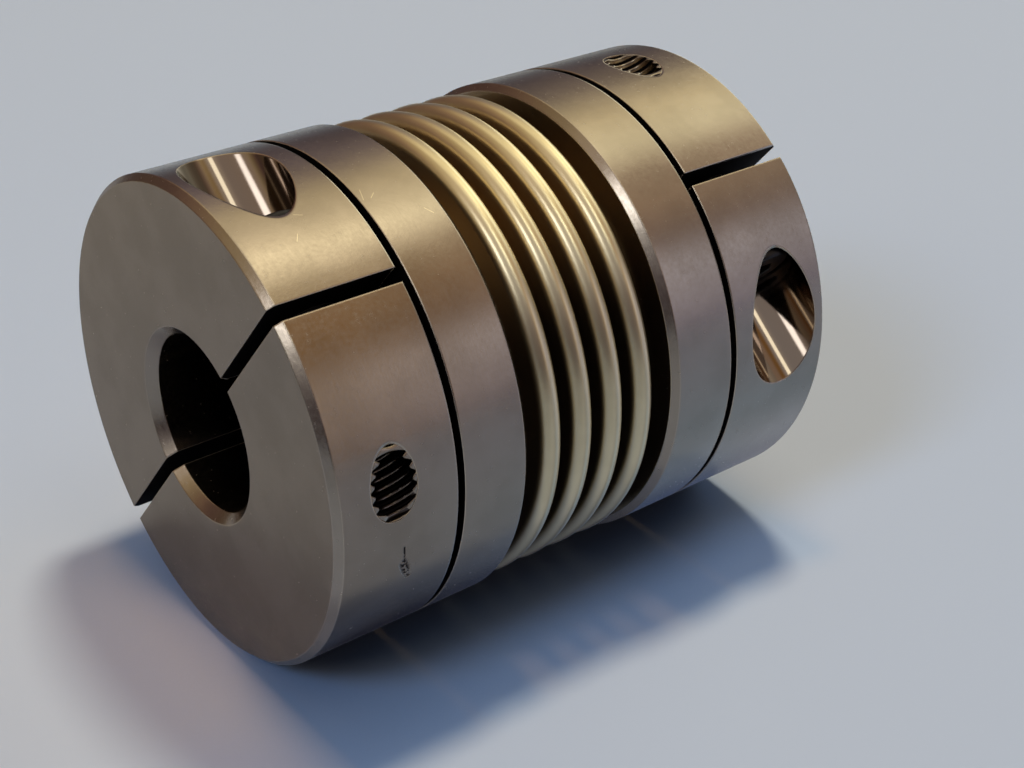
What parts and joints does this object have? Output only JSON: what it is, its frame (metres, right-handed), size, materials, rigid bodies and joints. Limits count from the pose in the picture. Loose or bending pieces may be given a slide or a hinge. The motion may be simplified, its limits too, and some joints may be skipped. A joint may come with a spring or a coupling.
{
  "type": "bellows coupling",
  "caption": "Torsionally stiff shaft coupling: a convoluted metal bellows joins two slit clamp hubs, each with a socket-head clamp screw.",
  "frame": {"origin": "centre of the lower hub's outer end face, which the coupling stands on", "axes": "+Z along the coupling's axis from the lower hub to the upper; both hubs are slit along the plane x = 0, and the clamp screws lie along X on the -Y side"},
  "size_m": [0.06, 0.06, 0.074],
  "materials": {
    "hub_steel": "fine turned, satin",
    "bellows_metal": "pale gold, drawn satin",
    "screw_steel": "black oxide"
  },
  "bodies": {
    "root": {"lower_hub": "hub_steel", "upper_hub": "hub_steel", "bellows": "bellows_metal", "lower_clamp_screw": "screw_steel", "upper_clamp_screw": "screw_steel"}
  },
  "joints": []
}
